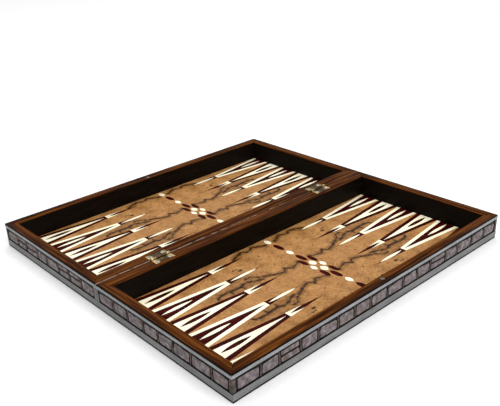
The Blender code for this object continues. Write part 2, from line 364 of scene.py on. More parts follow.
class Setting(Nodes):
    """A Geometry Nodes tree with named inputs."""

    SOCKETS = {
        "length": "NodeSocketFloat",
        "number": "NodeSocketFloat",
        "count": "NodeSocketInt",
        "offset": "NodeSocketVector",
        "finish": "NodeSocketMaterial",
    }

    def __init__(self, name, inputs):
        super().__init__(bpy.data.node_groups.new(name, "GeometryNodeTree"))
        face = self.tree.interface
        face.new_socket("Pattern", in_out="INPUT", socket_type="NodeSocketGeometry")
        self.ids = {}
        for title, kind in inputs.items():
            socket = face.new_socket(title, in_out="INPUT", socket_type=self.SOCKETS[kind])
            self.ids[title] = socket.identifier
        face.new_socket("Geometry", in_out="OUTPUT", socket_type="NodeSocketGeometry")
        self.source = self.tree.nodes.new("NodeGroupInput")
        self.result = self.tree.nodes.new("NodeGroupOutput")

    def given(self, title):
        return self.source.outputs[title]

    def random(self, low, high, key, seed):
        """A random number in a range that depends on a key and a seed."""
        node = self.add("FunctionNodeRandomValue", data_type="FLOAT")
        for title, value in (("ID", key), ("Seed", seed)):
            self.tree.links.new(value, node.inputs[title])
        floats = [s for s in node.inputs if s.type == "VALUE" and s.name in ("Min", "Max")]
        floats[0].default_value = low
        floats[1].default_value = high
        return [s for s in node.outputs if s.type == "VALUE"][0]

    def close(self, geometry):
        """Ends the tree: instances made real, and the finish set."""
        real = self.first("GeometryNodeRealizeInstances", {0: geometry})
        done = self.first("GeometryNodeSetMaterial", {"Geometry": real, "Material": self.given("Finish")})
        self.tree.links.new(done, self.result.inputs[0])

    def run(self, shape, finish, **values):
        """Runs the tree on a bmesh and gives the result as a new bmesh."""
        mesh = bpy.data.meshes.new("pattern")
        shape.to_mesh(mesh)
        shape.free()
        holder = bpy.data.objects.new("pattern", mesh)
        bpy.context.scene.collection.objects.link(holder)
        modifier = holder.modifiers.new("setting", "NODES")
        modifier.node_group = self.tree
        modifier[self.ids["Finish"]] = finish
        for title, value in values.items():
            modifier[self.ids[title]] = value
        settle(holder)
        made = bmesh.new()
        made.from_mesh(holder.data)
        bpy.data.objects.remove(holder)
        return made


def make_row_setting():
    """Repeats a pattern in rows and columns."""
    names = {"Columns": "count", "Rows": "count", "Column_Step": "offset", "Row_Step": "offset"}
    s = Setting("set_out_in_rows", {**names, "Finish": "finish"})
    places = s.first("GeometryNodePoints", {"Count": s.times(s.given("Columns"), s.given("Rows"))})
    index = s.first("GeometryNodeInputIndex")
    column = s.maths("MODULO", index, s.given("Columns"))
    row = s.maths("FLOOR", s.over(index, s.given("Columns")))
    along = s.scaled(s.given("Column_Step"), column)
    across = s.scaled(s.given("Row_Step"), row)
    place = s.vector("ADD", along, across)
    placed = s.first("GeometryNodeSetPosition", {"Geometry": places, "Position": place})
    s.close(s.first("GeometryNodeInstanceOnPoints", {"Points": placed, "Instance": s.given("Pattern")}))
    return s


def make_border_setting():
    """Repeats one edge's pattern on the board's four edges, each second one as a mirror image.

    The pattern is drawn along x from the middle of the edge, with y the distance in from the edge.
    """
    names = {"Half_Width": "length", "Half_Length": "length"}
    s = Setting("set_round_the_board", {**names, "Finish": "finish"})
    places = s.first("GeometryNodePoints", {"Count": 4})
    index = s.first("GeometryNodeInputIndex")
    turn = s.times(index, math.pi / 2)
    x = s.times(s.maths("SINE", turn), s.given("Half_Width"))
    y = s.times(s.maths("COSINE", turn), s.times(s.given("Half_Length"), -1.0))
    placed = s.first("GeometryNodeSetPosition", {"Geometry": places, "Position": s.xyz(x, y)})
    flip = s.minus(1.0, s.times(s.maths("MODULO", index, 2.0), 2.0))
    turned = {"Rotation": s.xyz(0.0, 0.0, turn), "Scale": s.xyz(flip, 1.0, 1.0)}
    inputs = {"Points": placed, "Instance": s.given("Pattern"), **turned}
    s.close(s.first("GeometryNodeInstanceOnPoints", inputs))
    return s


def joint_shift(s, joint, row):
    """How far a joint of a stone course wanders and leans. The two ends stay where they are."""
    wander = s.random(-1.0, 1.0, joint, s.given("Seed"))
    lean = s.random(-0.5, 0.5, s.maths("MULTIPLY_ADD", joint, 3.0, row), s.given("Seed"))
    first = s.maths("GREATER_THAN", joint, 0.5)
    inside = s.times(first, s.maths("LESS_THAN", joint, s.minus(s.given("Stones"), 0.5)))
    return s.times(s.times(s.plus(wander, lean), s.given("Uneven")), inside)


def raise_blocks(s, outline, ragged_x, ragged_y):
    """Gives flat blocks uneven outlines, raises them along Z and closes them underneath."""
    inputs = {"Vector": s.first("GeometryNodeInputPosition"), "Scale": 0.16, "Detail": 2.0}
    noise = s.add("ShaderNodeTexNoise", inputs).outputs["Color"]
    off = s.vector("SUBTRACT", noise, (0.5, 0.5, 0.5))
    ragged = s.vector("MULTIPLY", off, (ragged_x, ragged_y, 0.0))
    uneven = s.first("GeometryNodeSetPosition", {"Geometry": outline, "Offset": ragged})
    up = {"Offset": s.xyz(0.0, 0.0, 1.0), "Offset Scale": s.given("Rise"), "Individual": False}
    raised = s.first("GeometryNodeExtrudeMesh", {"Mesh": uneven, **up}, mode="FACES")
    under = s.first("GeometryNodeFlipFaces", {"Mesh": uneven})
    both = s.add("GeometryNodeJoinGeometry")
    s.tree.links.new(under, both.inputs[0])
    s.tree.links.new(raised, both.inputs[0])
    whole = s.first("GeometryNodeMergeByDistance", {"Geometry": both.outputs[0], "Distance": 0.01})
    s.close(s.first("GeometryNodeSubdivisionSurface", {"Mesh": whole, "Level": 1}))


def flat_cells(s, length, columns):
    """A strip of separate flat cells, with each point's place and the middle of its cell along x."""
    size = {"Size X": length, "Size Y": s.given("Height"), "Vertices X": columns, "Vertices Y": 3}
    cells = s.first("GeometryNodeSplitEdges", {"Mesh": s.first("GeometryNodeMeshGrid", size)})
    x, y, _ = s.add("ShaderNodeSeparateXYZ", {0: s.first("GeometryNodeInputPosition")}).outputs
    middle = s.first("GeometryNodeFieldOnDomain", {0: x}, data_type="FLOAT", domain="FACE")
    return cells, x, y, middle


COURSE_INPUTS = {
    "Length": "length",
    "Height": "length",
    "Rise": "length",
    "Stones": "count",
    "Uneven": "length",
    "Seed": "count",
    "Finish": "finish",
}


def make_stone_setting():
    """Lays a course of stones: a strip of uneven blocks with joints between them, some cracked lengthwise.

    The course lies in the XY plane, centred on the origin, and the stones rise along Z. The incoming
    pattern isn't used.
    """
    s = Setting("lay_stones", {**COURSE_INPUTS, "Fill": "number"})
    length, height, stones, seed = (s.given(title) for title in ("Length", "Height", "Stones", "Seed"))
    cells, x, y, middle = flat_cells(s, length, s.plus(stones, 1.0))
    pitch = s.over(length, stones)
    half_length = s.times(length, 0.5)
    joint = s.maths("ROUND", s.over(s.plus(x, half_length), pitch))
    cell = s.maths("FLOOR", s.over(s.plus(middle, half_length), pitch))
    shift_x = joint_shift(s, joint, s.maths("SIGN", y))

    # The crack line: over a third of the stones have one, and the rest keep only a slanting top edge
    chance = s.random(0.0, 1.0, cell, s.plus(seed, 11.0))
    level = s.random(0.02, 0.17, cell, s.plus(seed, 23.0))
    tilt = s.random(-1.0, 1.0, cell, s.plus(seed, 37.0))
    cracked = s.maths("LESS_THAN", chance, 0.38)
    top_level = s.minus(0.46, s.times(cracked, 0.46))
    crack_level = s.plus(top_level, s.times(cracked, level))
    slant = s.times(s.times(tilt, s.maths("SIGN", s.minus(x, middle))), 0.13)
    rise = s.times(s.plus(crack_level, s.maths("MINIMUM", slant, 0.03)), height)
    is_middle = s.maths("LESS_THAN", s.maths("ABSOLUTE", y), s.times(height, 0.1))
    shift = s.xyz(shift_x, s.times(rise, is_middle))
    laid = s.first("GeometryNodeSetPosition", {"Geometry": cells, "Offset": shift})

    # Slivers thinner than a joint are left out, and a crack opens wider than the stones' own joints
    least = s.times(s.times(pitch, height), 0.10)
    sliver = s.maths("LESS_THAN", s.first("GeometryNodeInputMeshFaceArea"), least)
    kept = s.first("GeometryNodeDeleteGeometry", {0: laid, 1: sliver}, domain="FACE")
    shrunk = s.first("GeometryNodeScaleElements", {"Geometry": kept, "Scale": s.given("Fill")})
    thin = s.minus(1.0, s.times(cracked, 0.15))
    inputs = {"Geometry": shrunk, "Scale": thin, "Axis": (0.0, 1.0, 0.0)}
    gapped = s.first("GeometryNodeScaleElements", inputs, scale_mode="SINGLE_AXIS")
    raise_blocks(s, s.first("GeometryNodeSubdivideMesh", {"Mesh": gapped, "Level": 2}), 1.8, 1.4)
    return s


def make_mortar_setting():
    """Lays the mortar of a course of stones: an upright rib in the middle of each joint."""
    s = Setting("lay_mortar", {**COURSE_INPUTS, "Rib": "length"})
    length, stones = s.given("Length"), s.given("Stones")
    pitch = s.over(length, stones)
    cells, x, y, middle = flat_cells(s, s.minus(length, pitch), stones)
    joint = s.maths("ROUND", s.over(s.plus(middle, s.times(length, 0.5)), pitch))
    shift = joint_shift(s, joint, s.maths("SIGN", y))
    out = s.times(s.maths("SIGN", s.minus(x, middle)), s.given("Rib"))
    place = s.xyz(s.plus(s.plus(middle, shift), out), y)
    laid = s.first("GeometryNodeSetPosition", {"Geometry": cells, "Position": place})
    raise_blocks(s, s.first("GeometryNodeSubdivideMesh", {"Mesh": laid, "Level": 2}), 1.8, 0.4)
    return s


# ---- finishes


def srgb(red, green, blue):
    """A colour from 0 to 255 values as a linear colour."""
    parts = [v / 255 for v in (red, green, blue)]
    linear = [p / 12.92 if p <= 0.04045 else ((p + 0.055) / 1.055) ** 2.4 for p in parts]
    return (*linear, 1.0)


class Finish(Nodes):
    """A material with a Principled shader. Sizes are in millimetres."""

    def __init__(self, name, roughness, specular, metallic=0.0):
        self.material = bpy.data.materials.new(name)
        self.material.use_nodes = True
        super().__init__(self.material.node_tree)
        self.shader = self.tree.nodes["Principled BSDF"]
        looks = {"Roughness": roughness, "Specular IOR Level": specular, "Metallic": metallic}
        for title, value in looks.items():
            self.shader.inputs[title].default_value = value
        self.place = self.scaled(self.add("ShaderNodeTexCoord").outputs["Object"], 1 / MM)
        self.x, self.y, self.z = self.add("ShaderNodeSeparateXYZ", {0: self.place}).outputs

    def noise(self, size, detail=3.0, roughness=0.55, at=None, distortion=0.0):
        """Noise with features of a size along x, y and z, from about 0.3 to 0.7."""
        sizes = size if isinstance(size, tuple) else (size, size, size)
        where = self.vector("MULTIPLY", at or self.place, tuple(1 / s for s in sizes))
        inputs = {"Vector": where, "Scale": 1.0, "Detail": detail}
        inputs.update({"Roughness": roughness, "Distortion": distortion})
        return self.first("ShaderNodeTexNoise", inputs)

    def turned(self, place, degrees):
        """A place turned about z."""
        inputs = {"Vector": place, "Angle": math.radians(degrees)}
        return self.first("ShaderNodeVectorRotate", inputs, rotation_type="Z_AXIS")

    def fall(self, value, low, high, start=1.0):
        """A soft step down to nothing."""
        return self.fade(value, low, high, start, 0.0)

    def shares(self, *parts):
        """The sum of values, each times its share."""
        total = self.times(*parts[0])
        for part in parts[1:]:
            total = self.plus(total, self.times(*part))
        return total

    def ramp(self, value, *stops):
        """A colour for each value. Each stop is (value, colour)."""
        node = self.add("ShaderNodeValToRGB", {0: value})
        elements = node.color_ramp.elements
        while len(elements) < len(stops):
            elements.new(0.5)
        for element, (position, colour) in zip(elements, stops):
            element.position = position
            element.color = colour
        return node.outputs[0]

    def mix(self, amount, a, b):
        """One colour over another: a where the amount is 0, and b where it is 1."""
        return self.add("ShaderNodeMix", {0: amount, 6: a, 7: b}, data_type="RGBA").outputs[2]

    def curve(self, value, points, across, height):
        """A line drawn through (x, y) points, as a function of x."""
        node = self.add("ShaderNodeFloatCurve", {"Value": self.over(value, across)})
        line = node.mapping.curves[0]
        scaled = [(x / across, y / height) for x, y in points]
        scaled = [(0.0, scaled[0][1])] + scaled + [(1.0, scaled[-1][1])]
        line.points[0].location = scaled[0]
        line.points[1].location = scaled[-1]
        for point in scaled[1:-1]:
            line.points.new(*point)
        for point in line.points:
            point.handle_type = "VECTOR"
        node.mapping.update()
        return self.times(node.outputs[0], height)

    def done(self, colour, tooth, relief):
        """Joins the colour to the shader, with its tooth and relief, and gives the material.

        Tooth is (noise, roughness at 0.3, roughness at 0.7). Relief is (height from 0 to 1, depth in mm).
        """
        height, depth = relief
        bump = {"Height": height, "Distance": depth * MM, "Strength": 1.0}
        noise, low, high = tooth
        for title, value in (
            ("Base Color", colour),
            ("Roughness", self.fade(noise, 0.3, 0.7, low, high)),
            ("Normal", self.first("ShaderNodeBump", bump)),
        ):
            self.tree.links.new(value, self.shader.inputs[title])
        return self.material


BURL_LIGHT = srgb(182, 134, 82)
BURL_MIDDLE = srgb(158, 112, 64)
BURL_BROWN = srgb(116, 76, 36)
BURL_CORE = srgb(72, 42, 14)
BURL_DARK = srgb(42, 22, 8)

# Veins of the playing field: (distance along the board from the pattern's middle, distance across)
VEIN_REACH = 160.0
VEIN_HEIGHT = 106.6
MAIN_VEIN = (
    (9, 27.5), (18, 23.3), (29, 20), (34, 25), (36, 26.7), (42.5, 20.3), (48.3, 21.7),
    (56.7, 25), (66.7, 30), (71.7, 32.5), (78, 36), (83, 41.7), (90, 43),
)
BRANCH_VEIN = (
    (71.7, 27.5), (75, 26.7), (80, 29), (88, 33), (95, 35.8), (101.7, 35.8), (106.7, 33),
    (123, 34), (133, 35.8), (141.7, 34), (150, 30),
)
OUTER_VEIN = (
    (6.7, 90), (18, 96), (27.5, 100), (33, 96), (39, 95), (46, 101), (53, 98), (66.7, 92.5), (71.7, 90),
)
# Each vein's points, and where it starts and fades out
VEINS = ((MAIN_VEIN, 7.0, 93.0), (BRANCH_VEIN, 70.0, 152.0), (OUTER_VEIN, 4.0, 74.0))
# Dark spots: (along, across, half length, half width)
SPOTS = (
    (36, 27, 2.6, 2.4),
    (90, 43, 3.2, 2.8),
    (37, 44, 1.6, 1.4),
    (37, 75, 1.6, 1.4),
    (80, 65, 4.0, 2.4),
    (85, 70, 5.0, 1.2),
    (106.7, 30, 1.3, 6.0),
    (125, 30, 1.3, 6.0),
)


def burl_ground(f, place, grain):
    """The even part of the light burl: clouds, fine mottling and short fibres."""
    clouds = f.noise(22.0, 3.0, at=place)
    mottle = f.noise(2.8, 4.0, 0.7, at=place, distortion=0.8)
    fibre = f.noise((1.0, 12.0, 4.0), 3.0, 0.65, at=grain)
    tone = f.shares((clouds, 0.34), (mottle, 0.38), (fibre, 0.28))
    ground = f.ramp(tone, (0.38, BURL_BROWN), (0.47, BURL_MIDDLE), (0.58, BURL_LIGHT))
    return ground, mottle, fibre


def make_burl_field():
    """Light walnut burl laid as four mirrored leaves, with dark zigzag veins."""
    f = Finish("burl_field", 0.38, 0.08)
    u = f.apart(f.y, PATTERN_Y)
    v = f.apart(f.maths("ABSOLUTE", f.x), (FIELD_LOW.x + FIELD_HIGH.x) / 2)
    leaf = f.xyz(u, v)
    ground, mottle, fibre = burl_ground(f, leaf, f.turned(leaf, -52))

    wobble = f.times(f.minus(f.noise(3.6, 4.0, 0.65, at=leaf), 0.5), 6.5)
    wandering = f.plus(v, wobble)
    width = f.fade(f.noise(7.0, 3.0, at=leaf), 0.38, 0.62, 0.6, 2.0)
    dark, brown = 0.0, 0.0
    for points, start, end in VEINS:
        away = f.apart(wandering, f.curve(u, points, VEIN_REACH, VEIN_HEIGHT))
        within = f.times(f.fade(u, start, start + 4.0), f.fall(u, end - 5.0, end))
        dark = f.most(dark, f.times(f.fall(f.over(away, width), 0.5, 1.5), within))
        brown = f.most(brown, f.times(f.fall(away, 0.8, 9.0), within))
    for along, across, half_along, half_across in SPOTS:
        du = f.over(f.minus(u, along), half_along)
        dv = f.over(f.minus(wandering, across), half_across)
        away = f.plus(f.times(du, du), f.times(dv, dv))
        dark = f.most(dark, f.fall(away, 0.3, 1.5, 0.9))

    # A browner patch outlined like scales, where the burl is wildest
    patch = f.times(f.fall(f.apart(u, 112.0), 26.0, 50.0), f.fall(f.apart(v, 37.0), 8.0, 24.0))
    scales = f.vector("MULTIPLY", leaf, (1 / 9.0, 1 / 6.0, 0.0))
    bend = f.add("ShaderNodeTexNoise", {"Vector": leaf, "Scale": 0.14, "Detail": 2.0}).outputs[1]
    inputs = {"Vector": f.vector("ADD", scales, bend), "Scale": 1.0}
    cells = f.first("ShaderNodeTexVoronoi", inputs, feature="DISTANCE_TO_EDGE")
    outline = f.times(f.fall(cells, 0.02, 0.20, 0.75), patch)
    brown = f.most(brown, f.most(outline, f.times(patch, 0.5)))
    stray = f.fall(f.apart(f.noise(34.0, 4.0, 0.6, at=leaf), 0.47), 0.0, 0.012, 0.6)
    brown = f.most(brown, stray)
    cloudy = f.fade(f.noise(8.0, 4.0, 0.65, at=leaf), 0.40, 0.58, 0.4, 0.9)
    tone = f.mix(f.times(brown, cloudy), ground, BURL_CORE)
    relief = f.shares((fibre, 0.6), (mottle, 0.4))
    return f.done(f.mix(dark, tone, BURL_DARK), (mottle, 0.32, 0.44), (relief, 0.05))


def make_chess_veneer():
    """Burl of the chess face: each square is its own piece of veneer, with a dark vein across some."""
    f = Finish("chess_face", 0.32, 0.12)
    column = f.maths("FLOOR", f.over(f.y, SQUARE_Y))
    row = f.maths("FLOOR", f.over(f.x, SQUARE_X))
    place = f.vector("ADD", f.place, f.xyz(f.times(column, 71.0), f.times(row, 53.0)))
    grain = f.turned(place, 20)
    ground, mottle, fibre = burl_ground(f, place, grain)
    slow = f.noise((46.0, 90.0, 40.0), 4.0, 0.6, at=grain, distortion=0.5)
    line = f.fall(f.apart(slow, 0.50), 0.002, 0.014, 0.85)
    beside = f.times(f.fall(slow, 0.50, 0.60, 0.80), f.fade(slow, 0.40, 0.50))
    ground = f.mix(0.45, ground, srgb(138, 92, 26))
    colour = f.mix(line, f.mix(beside, ground, BURL_CORE), BURL_DARK)
    return f.done(colour, (mottle, 0.24, 0.36), (fibre, 0.03))


def make_streaked_wood(name, along, stops, roughness, specular, size, edge=None):
    """Straight-grained wood: streaks that run along x or y, and fine pores. Size is (width, length)."""
    f = Finish(name, roughness, specular)
    across, length = size
    sizes = (length, across, across) if along == "x" else (across, length, across)
    fine_sizes = (length * 0.3, 0.35, 0.35) if along == "x" else (0.35, length * 0.3, 0.35)
    streak = f.noise(sizes, 4.0, 0.6, distortion=0.25)
    tone = f.shares((streak, 0.72), (f.noise(fine_sizes, 2.0, 0.6), 0.28))
    colour = f.ramp(tone, *stops)
    if edge is not None:
        # Dark where the strip was trimmed flush with the outside, and pale beside the fold: a painted
        # highlight on the fold edge
        out = f.maths("ABSOLUTE", f.y if along == "x" else f.x)
        colour = f.mix(f.fade(out, edge - 1.7, edge - 1.1), colour, srgb(12, 7, 4))
        uneven = f.plus(f.noise(11.0, 3.0), f.times(f.y, -0.0007))
        # Painted highlight: a pale line along the fold edge, broken up by noise
        fold_highlight = f.times(f.fall(f.maths("ABSOLUTE", f.x), 0.8, 1.3), f.fade(uneven, 0.44, 0.62, 0.1, 0.9))
        colour = f.mix(fold_highlight, colour, srgb(138, 120, 104))
    return f.done(colour, (streak, roughness - 0.06, roughness + 0.08), (tone, 0.06))


def make_walnut(along, edge):
    tones = ((0.40, (26, 10, 1)), (0.46, (50, 22, 3)), (0.52, (76, 37, 6)), (0.60, (106, 60, 16)))
    stops = [(value, srgb(*tone)) for value, tone in tones]
    return make_streaked_wood("walnut_rim_" + along, along, stops, 0.42, 0.02, size=(2.8, 90.0), edge=edge)


def make_black_wood(along):
    stops = ((0.36, srgb(7, 4, 3)), (0.52, srgb(15, 10, 7)), (0.66, srgb(30, 20, 14)))
    return make_streaked_wood("black_frame_" + along, along, stops, 0.44, 0.05, size=(1.2, 40.0))


def make_maroon(name, dark, light, size):
    """Deep red-brown inlay wood with soft curved streaks."""
    f = Finish(name, 0.40, 0.02)
    streak = f.noise((size, size * 9, size), 3.0, 0.55, at=f.turned(f.place, 8), distortion=0.5)
    return f.done(f.ramp(streak, (0.38, dark), (0.64, light)), (streak, 0.26, 0.36), (streak, 0.02))


def make_ivory():
    """Warm white inlay with faint clouding and fine polishing marks."""
    f = Finish("ivory_inlay", 0.28, 0.3)
    fine = f.noise((0.5, 6.0, 2.0), 2.0)
    tone = f.shares((f.noise(14.0, 3.0), 0.7), (fine, 0.3))
    colour = f.ramp(tone, (0.35, srgb(246, 234, 198)), (0.62, srgb(255, 250, 224)))
    return f.done(colour, (fine, 0.22, 0.32), (fine, 0.01))


def make_pale_line(name, dark, light):
    """Stringing of pale wood, with a little grain."""
    f = Finish(name, 0.32, 0.25)
    grain = f.noise(3.0, 4.0)
    return f.done(f.ramp(grain, (0.35, dark), (0.65, light)), (grain, 0.28, 0.38), (grain, 0.01))


def make_band(name):
    """Painted grey band: a fine satin tooth, and a slightly weathered look. Its upper part is a lighter
    grey, a painted highlight, and its groove is darkened inside with painted shade.
    """
    f = Finish(name, 0.46, 0.15)
    tooth = f.noise(1.3, 4.0, 0.75)
    cloud = f.noise((40.0, 40.0, 12.0), 3.0)
    low = f.ramp(cloud, (0.35, srgb(104, 104, 104)), (0.65, srgb(126, 126, 126)))
    # Painted highlight: the upper part, with the narrow band, is a lighter grey for light caught on its
    # rounded top
    high = f.ramp(cloud, (0.35, srgb(134, 135, 138)), (0.65, srgb(154, 155, 158)))
    ground = f.mix(f.fade(f.z, 24.0, 28.0), low, high)
    shade = f.mix(f.fade(tooth, 0.44, 0.66, 0.0, 0.6), ground, srgb(84, 84, 86))
    # Painted shade: dark inside the groove under the narrow band
    groove = f.fall(f.apart(f.z, STONE_MIDDLE), STONE_HALF + 0.9, STONE_HALF + 1.3)
    return f.done(f.mix(groove, shade, srgb(14, 10, 9)), (tooth, 0.36, 0.5), (tooth, 0.04))


def make_stone(name, low, middle, high):
    """Mottled purplish-grey stone, browner in places, and darkened down its sides with painted shade."""
    f = Finish(name, 0.52, 0.12)
    cloud = f.noise(6.0, 4.0, 0.6)
    grit = f.noise(0.8, 4.0, 0.7)
    warm = f.noise((16.0, 16.0, 9.0), 3.0)
    ground = f.ramp(cloud, (0.36, low), (0.50, middle), (0.64, high))
    ground = f.mix(f.fade(warm, 0.50, 0.66, 0.0, 0.5), ground, srgb(104, 84, 72))
    ground = f.mix(f.fade(grit, 0.52, 0.68, 0.0, 0.6), ground, srgb(52, 44, 44))
    # Painted shade: darker down the sides, where the faces sink into the recess
    from_x = f.minus(HALF_WIDTH, f.maths("ABSOLUTE", f.x))
    from_y = f.minus(HALF_LENGTH, f.maths("ABSOLUTE", f.y))
    sides = f.fade(f.maths("MINIMUM", from_x, from_y), 0.45, 0.95)
    relief = f.shares((cloud, 0.6), (grit, 0.4))
    return f.done(f.mix(sides, ground, srgb(14, 10, 9)), (grit, 0.46, 0.62), (relief, 0.25))


def make_brass():
    """Aged brass: browned, and brighter near the ends of each hinge, which is a painted highlight."""
    f = Finish("aged_brass", 0.36, 0.5, metallic=1.0)
    patina = f.noise(2.2, 4.0, 0.65)
    tone = f.shares((patina, 0.75), (f.noise((0.25, 3.0, 0.25), 2.0), 0.25))
    aged = f.ramp(tone, (0.38, srgb(44, 33, 20)), (0.52, srgb(84, 66, 42)), (0.64, srgb(140, 116, 76)))
    # Painted highlight: brighter towards each end of a hinge
    from_middle = f.apart(f.maths("ABSOLUTE", f.y), abs((LEAF_LOW.y + LEAF_HIGH.y) / 2))
    end_glint = f.times(f.fade(from_middle, 6.5, 12.0), f.fade(patina, 0.34, 0.56, 0.25, 1.0))
    return f.done(f.mix(end_glint, aged, srgb(196, 176, 130)), (patina, 0.46, 0.28), (tone, 0.02))


def make_steel(name, dark, light):
    """Plain steel with fine turning marks and faint stains."""
    f = Finish(name, 0.3, 0.5, metallic=1.0)
    stain = f.noise(1.6, 4.0, 0.6)
    marks = f.noise((0.2, 1.8, 0.2), 2.0)
    return f.done(f.ramp(stain, (0.36, dark), (0.62, light)), (marks, 0.22, 0.38), (marks, 0.01))


def make_paper():
    """The pale studio floor."""
    f = Finish("floor_paper", 0.9, 0.1)
    tooth = f.noise(7.0, 3.0)
    colour = f.ramp(tooth, (0.3, srgb(240, 240, 240)), (0.7, srgb(244, 244, 244)))
    return f.done(colour, (tooth, 0.85, 0.95), (tooth, 0.02))


# ---- playing field


def field_inlay(shape, outline, level):
    """A plate let into the playing field. A higher level stands a little further out."""
    prism(shape, outline, FIELD_TOP - INLAY_ROOT, FIELD_TOP + level * INLAY_STEP)


class PointSketch:
    """Draws one point. Distances run from its step: positive to its base, negative to its tip."""

    def __init__(self, shape, centre_x, end):
        self.shape = shape
        self.centre_x = centre_x
        self.end = end
        self.step_y = PATTERN_Y + end * STEP_FROM_MIDDLE
        wall = FIELD_HIGH.y if end > 0 else FIELD_LOW.y
        self.base = abs(wall - self.step_y)

    def plate(self, halves, level):
        """A plate symmetric about the point's centre line, from (distance, half width) pairs."""
        left = [(-half, run) for run, half in halves]
        right = [(half, run) for run, half in reversed(halves) if half]
        self.draw(left + right, level)

    def draw(self, points, level):
        """A plate from (x from the centre line, distance) pairs."""
        outline = [(self.centre_x + x, self.step_y + self.end * run) for x, run in points]
        field_inlay(self.shape, outline, level)

    def body(self, level):
        """The point's outline: it widens from its step until it fills the row."""
        full = (ROW_PITCH / 2 - STEP_HALF) / POINT_SLOPE
        run = min(self.base, full)
        halves = [(0, STEP_HALF), (run, STEP_HALF + POINT_SLOPE * run)]
        if self.base > full:
            halves.append((self.base, ROW_PITCH / 2))
        self.plate(halves, level)

    def inner(self, start, slope, level):
        self.plate([(start, 0), (self.base, slope * (self.base - start))], level)

    def blade(self, start, end, half, level, steps=10):
        """A thin leaf, pointed at both ends unless the wall cuts it."""
        runs = [start + (end - start) * i / steps for i in range(steps + 1)]
        runs = [run for run in runs if run < self.base]
        if end > self.base:
            runs.append(self.base)
        span = (end - start) ** 2
        self.plate([(run, half * 4 * (run - start) * (end - run) / span) for run in runs], level)

    def tip(self, level):
        self.plate([(-TIP_LENGTH, 0), (0, TIP_HALF)], level)

    def notched_box(self, level, steps=6):
        """The light box at the step, with a long notch for the dark spire."""
        narrow = TIP_HALF * (1 - NOTCH_END / TIP_LENGTH)
        runs = [NOTCH_END + (NOTCH_START - NOTCH_END) * i / steps for i in range(steps + 1)]
        notch = [(run, narrow * (1 - ((NOTCH_END - run) / (NOTCH_END - NOTCH_START)) ** 2)) for run in runs]
        half = [(TIP_HALF, 0)] + [(x, -run) for run, x in notch]
        other = [(-x, run) for x, run in reversed(half[:-1])]
        self.draw(half + other, level)


def draw_points(dark, light, side, row):
    """The two points of a row, one at each end of the tray. Their colours change places from end to end."""
    centre_x = side * (FIELD_LOW.x + ROW_PITCH * (row + 0.5))
    for end in (-1, 1):
        dark_outline = (row % 2 == 0) == (side * end < 0)
        outline, filling = (dark, light) if dark_outline else (light, dark)
        PointSketch(outline, centre_x, end).body(1)
        start, slope, sliver_half = FILLINGS[dark_outline]
        PointSketch(filling, centre_x, end).inner(start, slope, 2)
        PointSketch(outline, centre_x, end).blade(SLIVER_START, SLIVER_END, sliver_half, 3)
        PointSketch(dark, centre_x, end).tip(1)
        if dark_outline:
            PointSketch(light, centre_x, end).notched_box(2)
        else:
            PointSketch(light, centre_x, end).blade(-CORE_END, -CORE_START, CORE_HALF, 2)


# Leaves of the ornament: (colour, x, y, length, width, fullness, level). Each has a twin half a turn away.
ORNAMENT = (
    ("dark", 30.8, 0, 22.5, 8.0, 3.2, 1),
    ("light", 52.2, 0, 14.0, 7.6, 2.4, 1),
    ("dark", 73.9, 0, 22.5, 8.0, 3.2, 1),
    ("light", 96.0, 0, 15.0, 7.8, 2.4, 1),
    ("light", 10.3, 0, 13.6, 9.2, 2.0, 2),
    ("light", 0, 8.6, 12.6, 6.8, 2.2, 2),
    ("dark", 19.0, -8.6, 20.0, 6.9, 3.2, 1),
    ("dark", 19.0, 8.6, 20.0, 6.9, 3.2, 1),
)


def draw_ornament(dark, light, side):
    """The line of leaves across the middle of the tray, with a cluster at its centre."""
    middle_x = side * (FIELD_LOW.x + FIELD_HIGH.x) / 2
    shapes = {"dark": dark, "light": light}
    for sign in (-1, 1):
        for colour, x, y, length, width, fullness, level in ORNAMENT:
            at = (middle_x + sign * x, PATTERN_Y + sign * y)
            outline = turned_outline(lens_outline(length, width, fullness), at)
            field_inlay(shapes[colour], outline, level)


def make_field_inlay(half, side, setting, finishes):
    dark, light = bmesh.new(), bmesh.new()
    for row in (0, 1):
        draw_points(dark, light, side, row)
    step = (side * 2 * ROW_PITCH, 0.0, 0.0)
    repeats = {"Columns": ROWS // 2, "Rows": 1, "Column_Step": step}
    dark = setting.run(dark, finishes["maroon"], **repeats)
    light = setting.run(light, finishes["ivory"], **repeats)
    draw_ornament(dark, light, side)
    make_piece(half + "_field_dark_inlay", dark, half, finishes["maroon"])
    make_piece(half + "_field_light_inlay", light, half, finishes["ivory"])


# ---- chess face


def inlay(shape, outline, level):
    """A plate let into the chess face, which looks down. A higher level stands a little further out."""
    prism(shape, outline, CHESS_FACE_Z - level * CHESS_STEP, CHESS_FACE_Z + INLAY_ROOT)


def inlay_ring(shape, outer, inner, level):
    ring_plate(shape, outer, inner, CHESS_FACE_Z - level * CHESS_STEP, CHESS_FACE_Z + INLAY_ROOT)


def hexagon(half_length, half_flat, half_height, rising=0.0, falling=0.0):
    """A hexagon whose rising and falling slanted sides are moved outwards by distances."""
    slope = (half_length - half_flat) / half_height
    wider = math.hypot(slope, 1)
    a, b = rising * wider, falling * wider
    high = half_height
    right = [
        (half_length + b - high * slope, high),
        (half_length + (a + b) / 2, (b - a) / (2 * slope)),
        (half_length + a - high * slope, -high),
    ]
    return right + [(-x, -y) for x, y in right]


def strip(start, end, width, cut):
    """A straight line of a width whose ends are cut along x, as where it meets the border's edges."""
    slope = (end[0] - start[0]) / (end[1] - start[1])
    half = width / 2 * math.hypot(1, slope)
    low, high = cut
    points = []
    for y, sign in ((low, -1), (low, 1), (high, 1), (high, -1)):
        points.append((start[0] + slope * (y - start[1]) + sign * half, y))
    return points


